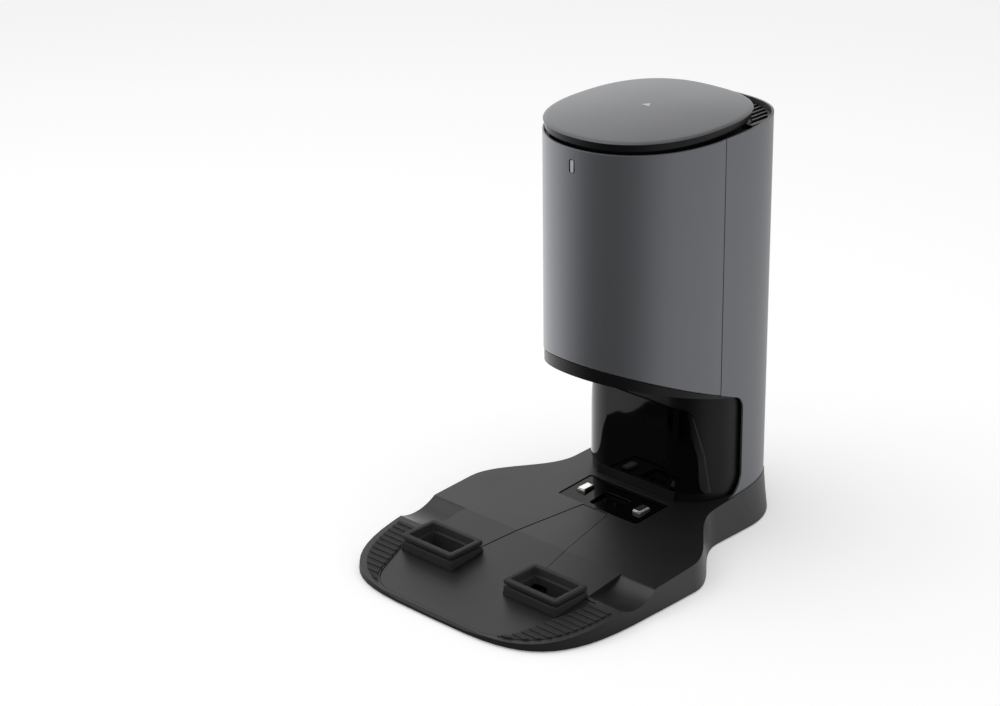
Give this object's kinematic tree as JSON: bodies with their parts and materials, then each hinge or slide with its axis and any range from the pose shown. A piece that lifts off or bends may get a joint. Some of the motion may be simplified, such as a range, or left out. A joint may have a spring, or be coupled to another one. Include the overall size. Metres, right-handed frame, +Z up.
{
  "type": "robot vacuum auto-empty docking station",
  "caption": "Floor-standing docking station: ramp plate with charging pads and intake openings, and a hinged-lid tower that holds the dust bag, filter and fan.",
  "frame": {"origin": "on the floor, under the middle of the station's bounding box", "axes": "+Z up, -Y towards the front where the robot drives in, +X to the right seen from the front"},
  "size_m": [0.3, 0.43, 0.43],
  "materials": {
    "shell_metallic": "satin metallic lacquer",
    "lid_metallic": "satin metallic lacquer",
    "deck_plastic": "fine grain",
    "dark_plastic": "matte",
    "black_gloss": "gloss",
    "inner_plastic": "matte",
    "holder_plastic": "matte",
    "rubber_black": "matte",
    "contact_metal": "plated",
    "steel": "bright",
    "aluminium_cast": "satin",
    "copper_windings": "varnished",
    "circuit_board": "satin",
    "light_lens": "frosted",
    "mark_plastic": "satin",
    "bag_fleece": "fleece",
    "collar_card": "board",
    "filter_foam": "open foam",
    "switch_red": "gloss"
  },
  "bodies": {
    "station": {"base_cover": "deck_plastic", "bottom_cover": "dark_plastic", "rubber_feet": "rubber_black", "base_screws": "steel", "ramp_inlay": "deck_plastic", "grip_pad_left": "rubber_black", "grip_pad_right": "rubber_black", "intake_seal_left": "rubber_black", "intake_seal_right": "rubber_black", "intake_duct": "inner_plastic", "riser_duct": "inner_plastic", "contact_panel": "dark_plastic", "contact_bracket": "inner_plastic", "contact_spring_left": "steel", "contact_spring_right": "steel", "dock_sensor": "black_gloss", "dock_liner": "dark_plastic", "ir_window": "black_gloss", "ir_board": "circuit_board", "soffit": "dark_plastic", "chin_band": "dark_plastic", "front_shell": "shell_metallic", "rear_shell": "shell_metallic", "top_deck": "dark_plastic", "neck_ring": "dark_plastic", "vent_grille": "dark_plastic", "exhaust_filter": "filter_foam", "hinge_bracket": "dark_plastic", "hinge_pin": "steel", "indicator_light": "light_lens", "bag_bay": "inner_plastic", "bag_holder": "holder_plastic", "bag_collar": "collar_card", "dust_bag": "bag_fleece", "filter_housing": "inner_plastic", "pre_filter": "filter_foam", "inlet_boot": "rubber_black", "motor_cap": "inner_plastic", "motor_cup": "inner_plastic", "motor_isolator": "rubber_black", "motor_can": "steel", "motor_end_plate": "aluminium_cast", "stator": "copper_windings", "bearings": "steel", "control_board": "circuit_board", "power_board": "circuit_board", "power_inlet": "black_gloss", "lid_switch": "dark_plastic", "contact_lead": "rubber_black", "motor_lead": "rubber_black"},
    "lid": {"lid_plate": "lid_metallic", "lid_skirt": "dark_plastic", "lid_gasket": "rubber_black", "lid_mark": "mark_plastic"},
    "pad_left": {"contact_pad_left": "contact_metal"},
    "pad_right": {"contact_pad_right": "contact_metal"},
    "rotor": {"armature": "copper_windings", "motor_shaft": "steel", "impeller": "aluminium_cast"},
    "plunger": {"switch_plunger": "switch_red"}
  },
  "joints": [
    {"name": "lid_hinge", "type": "hinge", "parent": "station", "child": "lid", "pos_m": [0, 0.184, 0.41785], "axis": [-1, 0, 0], "range_deg": [0, 95]},
    {"name": "pad_left_travel", "type": "slide", "parent": "station", "child": "pad_left", "axis": [0, 0, -1], "range_m": [0, 0.002], "stiffness_N_per_m": 250, "springref_m": -0.002, "deforming": ["contact_spring_left"]},
    {"name": "pad_right_travel", "type": "slide", "parent": "station", "child": "pad_right", "axis": [0, 0, -1], "range_m": [0, 0.002], "stiffness_N_per_m": 250, "springref_m": -0.002, "deforming": ["contact_spring_right"]},
    {"name": "fan_spin", "type": "hinge", "parent": "station", "child": "rotor", "pos_m": [0, 0.128, 0.11], "axis": [0, 0, 1], "continuous": true},
    {"name": "switch_travel", "type": "slide", "parent": "station", "child": "plunger", "axis": [0, 0, -1], "range_m": [0, 0.0015], "stiffness_N_per_m": 120, "springref_m": -0.002}
  ]
}
